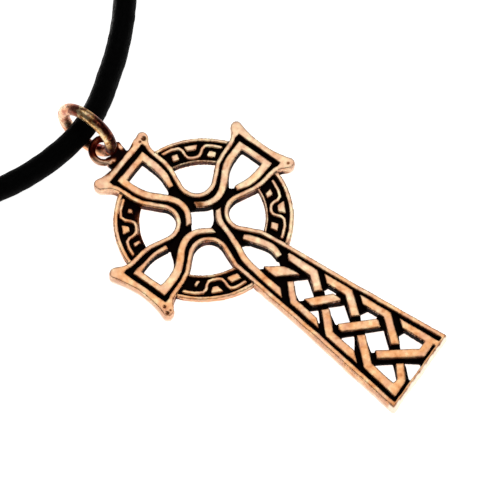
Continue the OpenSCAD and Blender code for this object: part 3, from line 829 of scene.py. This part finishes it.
def wire_ring_tree():
    """A ring of wire with a split at its foot: an arc with a round wire swept along it."""
    tree, size = geometry_tree("wire_ring", Radius=1.0, Wire=1.0, Split=0.1, Wander=0.1, Seed=1)
    sweep = calc(tree, "SUBTRACT", math.tau, size["Split"])
    arc = node(tree, "GeometryNodeCurveArc", {
        "Resolution": 220, "Radius": size["Radius"], "Sweep Angle": sweep,
        "Start Angle": calc(tree, "MULTIPLY", size["Split"], 0.5),
    })
    place = node(tree, "GeometryNodeInputPosition").outputs[0]
    drift = node(
        tree, "ShaderNodeTexNoise", {"Vector": place, "W": size["Seed"], "Scale": 260.0, "Detail": 1.0},
        noise_dimensions="4D",
    ).outputs["Color"]
    offset = node(tree, "ShaderNodeVectorMath", {
        0: vector_calc(tree, "SUBTRACT", drift, (0.5, 0.5, 0.5)), "Scale": size["Wander"],
    }, operation="SCALE").outputs[0]
    bent = node(tree, "GeometryNodeSetPosition", {"Geometry": arc.outputs[0], "Offset": offset})
    wire = node(tree, "GeometryNodeCurvePrimitiveCircle", {
        "Resolution": 28, "Radius": calc(tree, "MULTIPLY", size["Wire"], 0.5),
    })
    swept = node(tree, "GeometryNodeCurveToMesh", {
        "Curve": bent.outputs[0], "Profile Curve": wire.outputs[0], "Fill Caps": True,
    })
    end_tree(tree, swept.outputs[0], size["Finish"])
    return tree


def mark_wire(mesh):
    """Stores each point's place on the wire: degrees round the ring, and how far out and to the side."""
    p = vertex_array(mesh)
    store(mesh, "turn", np.degrees(np.arctan2(p[:, 1], p[:, 0])) % 360)
    store(mesh, "outward", (np.hypot(p[:, 0], p[:, 1]) - JUMP_R) / (JUMP_WIRE / 2))
    store(mesh, "aside", p[:, 2] / (JUMP_WIRE / 2))


def make_jump_ring():
    finish = copper_wire()
    piece = run_tree(
        "wire_ring", wire_ring_tree(), bpy.data.meshes.new("wire_ring"), finish,
        Radius=JUMP_R, Wire=JUMP_WIRE, Split=JUMP_SPLIT, Wander=0.05 * MM, Seed=4,
    )
    mark_wire(piece.data)
    centre = Vector((JUMP_X, JUMP_Y, JUMP_R * math.cos(JUMP_LEAN) + JUMP_WIRE / 2))
    stand = Matrix.Rotation(JUMP_TURN, 4, "Z") @ Matrix.Rotation(JUMP_LEAN, 4, "Y")
    stand = stand @ Matrix.Rotation(math.pi / 2, 4, "Y")
    piece.data.transform(Matrix.Translation(centre) @ stand)
    smooth_shading(piece.data)
    return finish_piece(piece, finish, "copper_wire", "jump_ring")


# The neck cord. Its route is given from the centre of the cross, in metres
CORD_D = 3 * MM
CORD_ROUTE = [
    (0.0054, 0.176, 0.0025), (0.011, 0.176, 0.0024), (0.018, 0.1752, 0.00165), (0.0275, 0.1722, 0.0015),
    (0.039, 0.1656, 0.0015), (0.0505, 0.1556, 0.0015), (0.06, 0.1422, 0.0015), (0.0658, 0.126, 0.0015),
    (0.0675, 0.1085, 0.0015), (0.065, 0.09, 0.0015), (0.059, 0.0726, 0.0015), (0.05, 0.0572, 0.0015),
    (0.0395, 0.0446, 0.0015), (0.0285, 0.0342, 0.0015), (0.018, 0.02625, 0.0015), (0.0123, 0.02295, 0.0016),
    (0.0073, 0.0208, 0.0022), (0.0034, 0.01935, 0.003), (0.0001, 0.0188, 0.00345),
    (-0.0034, 0.01915, 0.003), (-0.007, 0.0203, 0.0021), (-0.0116, 0.02235, 0.00155),
    (-0.018, 0.0262, 0.0015), (-0.027, 0.0334, 0.0015), (-0.037, 0.0438, 0.0015), (-0.0468, 0.0568, 0.0015),
    (-0.0554, 0.0726, 0.0015), (-0.0614, 0.09, 0.0015), (-0.0635, 0.1085, 0.0015), (-0.0618, 0.126, 0.0015),
    (-0.056, 0.1422, 0.0015), (-0.0465, 0.1556, 0.0015), (-0.035, 0.1656, 0.0015), (-0.0235, 0.1722, 0.0015),
    (-0.014, 0.1752, 0.00165), (-0.007, 0.176, 0.0024), (-0.0014, 0.176, 0.0025),
]
STEPS_PER_SPAN = 24


def smooth_route(rows, steps):
    """A smooth curve through all the rows."""
    p = np.array(rows)
    p = np.vstack([2 * p[0] - p[1], p, 2 * p[-1] - p[-2]])
    t = np.linspace(0, 1, steps, endpoint=False)[:, None]
    spans = []
    for a, b, c, d in zip(p[:-3], p[1:-2], p[2:-1], p[3:]):
        spans.append(0.5 * (
            2 * b + (c - a) * t + (2 * a - 5 * b + 4 * c - d) * t ** 2 + (3 * b - a - 3 * c + d) * t ** 3
        ))
    return np.vstack(spans + [p[-2:-1]])


def cord_tree():
    """A round cord along a line of edges, with a little wander and swelling, and coordinates of its own."""
    tree, size = geometry_tree("cord", Diameter=1.0, Spacing=1.0, Wander=0.1, Swell=0.1, Nap=0.1, Seed=1)
    line = node(tree, "GeometryNodeMeshToCurve", {"Mesh": size["Geometry"]})
    even = node(tree, "GeometryNodeResampleCurve", {
        "Curve": line.outputs[0], "Length": size["Spacing"],
    }, mode="LENGTH")
    place = node(tree, "GeometryNodeInputPosition").outputs[0]
    drift = node(
        tree, "ShaderNodeTexNoise", {"Vector": place, "W": size["Seed"], "Scale": 170.0, "Detail": 2.0},
        noise_dimensions="4D",
    )
    centred = vector_calc(tree, "SUBTRACT", drift.outputs["Color"], (0.5, 0.5, 0.5))
    level = vector_calc(tree, "MULTIPLY", centred, (1, 1, 0.3))
    offset = node(tree, "ShaderNodeVectorMath", {
        0: level, "Scale": size["Wander"],
    }, operation="SCALE").outputs[0]
    bent = node(tree, "GeometryNodeSetPosition", {"Geometry": even.outputs[0], "Offset": offset})
    upright = node(tree, "GeometryNodeSetCurveNormal", {"Curve": bent.outputs[0]}, mode="Z_UP")
    along = node(tree, "GeometryNodeSplineParameter").outputs["Length"]
    measured = node(tree, "GeometryNodeStoreNamedAttribute", {
        "Geometry": upright.outputs[0], "Name": "along", "Value": along,
    }, data_type="FLOAT", domain="POINT")
    ring = node(tree, "GeometryNodeCurvePrimitiveCircle", {
        "Resolution": 24, "Radius": calc(tree, "MULTIPLY", size["Diameter"], 0.5),
    })
    ring_place = node(tree, "GeometryNodeInputPosition").outputs[0]
    marked = node(tree, "GeometryNodeStoreNamedAttribute", {
        "Geometry": ring.outputs[0], "Name": "around", "Value": ring_place,
    }, data_type="FLOAT_VECTOR", domain="POINT")
    swell = calc(tree, "MULTIPLY", calc(tree, "SUBTRACT", drift.outputs[0], 0.55), size["Swell"])
    swept = node(tree, "GeometryNodeCurveToMesh", {
        "Curve": measured.outputs[0], "Profile Curve": marked.outputs[0],
        "Scale": calc(tree, "ADD", swell, 1.0), "Fill Caps": True,
    })
    around = named_attribute(tree, "around", "FLOAT_VECTOR")
    length = named_attribute(tree, "along", "FLOAT")
    lengthwise = node(tree, "ShaderNodeCombineXYZ", {"Z": length}).outputs[0]
    in_mm = node(tree, "ShaderNodeVectorMath", {
        0: vector_calc(tree, "ADD", around, lengthwise), "Scale": 1000.0,
    }, operation="SCALE").outputs[0]
    placed = node(tree, "GeometryNodeStoreNamedAttribute", {
        "Geometry": swept.outputs[0], "Name": "cord_place", "Value": in_mm,
    }, data_type="FLOAT_VECTOR", domain="POINT")
    fine = node(tree, "ShaderNodeTexNoise", {"Vector": place, "Scale": 900.0, "Detail": 2.0}).outputs[0]
    nap = calc(tree, "MULTIPLY", calc(tree, "SUBTRACT", fine, 0.5), size["Nap"])
    lift = node(tree, "ShaderNodeVectorMath", {
        0: node(tree, "GeometryNodeInputNormal").outputs[0], "Scale": nap,
    }, operation="SCALE").outputs[0]
    rough = node(tree, "GeometryNodeSetPosition", {"Geometry": placed.outputs[0], "Offset": lift})
    end_tree(tree, rough.outputs[0], size["Finish"])
    return tree


def line_mesh(name, points):
    mesh = bpy.data.meshes.new(name)
    mesh.from_pydata([tuple(p) for p in points], [(i, i + 1) for i in range(len(points) - 1)], [])
    return mesh


def make_neck_cord():
    finish = black_leather()
    route = smooth_route(CORD_ROUTE, STEPS_PER_SPAN) + [0, CROSS_Y, 0]
    piece = run_tree(
        "leather_cord", cord_tree(), line_mesh("leather_cord", route), finish,
        Diameter=CORD_D, Spacing=0.4 * MM, Wander=0.22 * MM, Swell=0.1, Nap=0.16 * MM, Seed=7,
    )
    smooth_shading(piece.data)
    return finish_piece(piece, finish, "black_cord", "neck_cord")


# The barrel clasp
CLASP_CENTRE = Vector((2 * MM, 176 * MM + CROSS_Y, 2.5 * MM))
CLASP_HALF = 7 * MM
CLASP_R = 2.5 * MM
SOCKET_R = 1.65 * MM
SOCKET_DEEP = 4 * MM


def lathe(name, profile, turns):
    """A closed solid turned about X from rows of x and radius. Its first and last radius are 0."""
    points = [(profile[0][0], 0, 0)]
    for x, radius in profile[1:-1]:
        for k in range(turns):
            angle = math.tau * k / turns
            points.append((x, radius * math.cos(angle), radius * math.sin(angle)))
    points.append((profile[-1][0], 0, 0))
    rings = len(profile) - 2
    last = len(points) - 1
    faces = []
    for k in range(turns):
        after = (k + 1) % turns
        faces.append((0, 1 + k, 1 + after))
        for r in range(rings - 1):
            low, high = 1 + r * turns, 1 + (r + 1) * turns
            faces.append((low + k, high + k, high + after, low + after))
        foot = 1 + (rings - 1) * turns
        faces.append((foot + k, last, foot + after))
    return mesh_from(name, points, faces)


def barrel_profile():
    """Half of the barrel from the bottom of its socket out round the lip, then the same mirrored."""
    lip = 0.35 * MM
    half = [(-CLASP_HALF + SOCKET_DEEP, 0), (-CLASP_HALF + SOCKET_DEEP, SOCKET_R * 0.98)]
    half += [(-CLASP_HALF + SOCKET_DEEP - 0.1 * MM, SOCKET_R), (-CLASP_HALF + lip, SOCKET_R)]
    middle = (SOCKET_R + CLASP_R) / 2
    reach = (CLASP_R - SOCKET_R) / 2
    for k in range(9):
        angle = math.pi * k / 8
        half.append((-CLASP_HALF + lip - lip * math.sin(angle), middle - reach * math.cos(angle)))
    for x in (1.1, 1.9):
        for off, sink in ((-0.22, 0), (-0.12, 0.09), (0, 0.13), (0.12, 0.09), (0.22, 0)):
            half.append((-CLASP_HALF + (x + off) * MM, CLASP_R - sink * MM))
    return half + [(-x, radius) for x, radius in reversed(half)]


def make_clasp():
    mesh = lathe("barrel", barrel_profile(), 72)
    mesh.transform(Matrix.Translation(CLASP_CENTRE))
    piece = new_object("barrel", mesh)
    smooth_shading(mesh)
    return finish_piece(piece, barrel_copper(), "barrel_copper", "clasp")


# The table and the lights
def add_table():
    side = 3.0
    corners = [(-side, -side, 0), (side, -side, 0), (side, side, 0), (-side, side, 0)]
    mesh = mesh_from("table", corners, [(0, 1, 2, 3)])
    table = new_object("table", mesh)
    table.location.z = -0.03 * MM
    table.data.materials.append(white_paper())


def add_softbox(name, azimuth, elevation, distance, size, radiance):
    """A square lamp that faces the pendant, as bright as its radiance."""
    data = bpy.data.lights.new(name, "AREA")
    data.size = size
    data.energy = radiance * math.pi * size * size
    lamp = bpy.data.objects.new(name, data)
    away = away_from_floor(azimuth, elevation)
    lamp.location = away * distance
    lamp.rotation_euler = (-away).to_track_quat("-Z", "Y").to_euler()
    bpy.context.scene.collection.objects.link(lamp)


def add_lights():
    add_softbox("key_softbox", CAMERA_AZIMUTH + math.pi, CAMERA_ELEVATION, 1.2, 0.9, 1.19)
    add_softbox("side_softbox", math.radians(-55), math.radians(24), 1.2, 0.5, 1.0)
    add_softbox("accent_softbox", math.radians(34), math.radians(58), 1.2, 0.3, 4.0)
    world = bpy.data.worlds.new("studio")
    world.use_nodes = True
    background = world.node_tree.nodes["Background"]
    background.inputs["Color"].default_value = rgb(0.1, 0.1, 0.1)
    bpy.context.scene.world = world
    bpy.context.scene.view_settings.view_transform = "Standard"


add_camera()
make_neck_cord()
make_clasp()
make_jump_ring()
make_cross()
add_table()
add_lights()
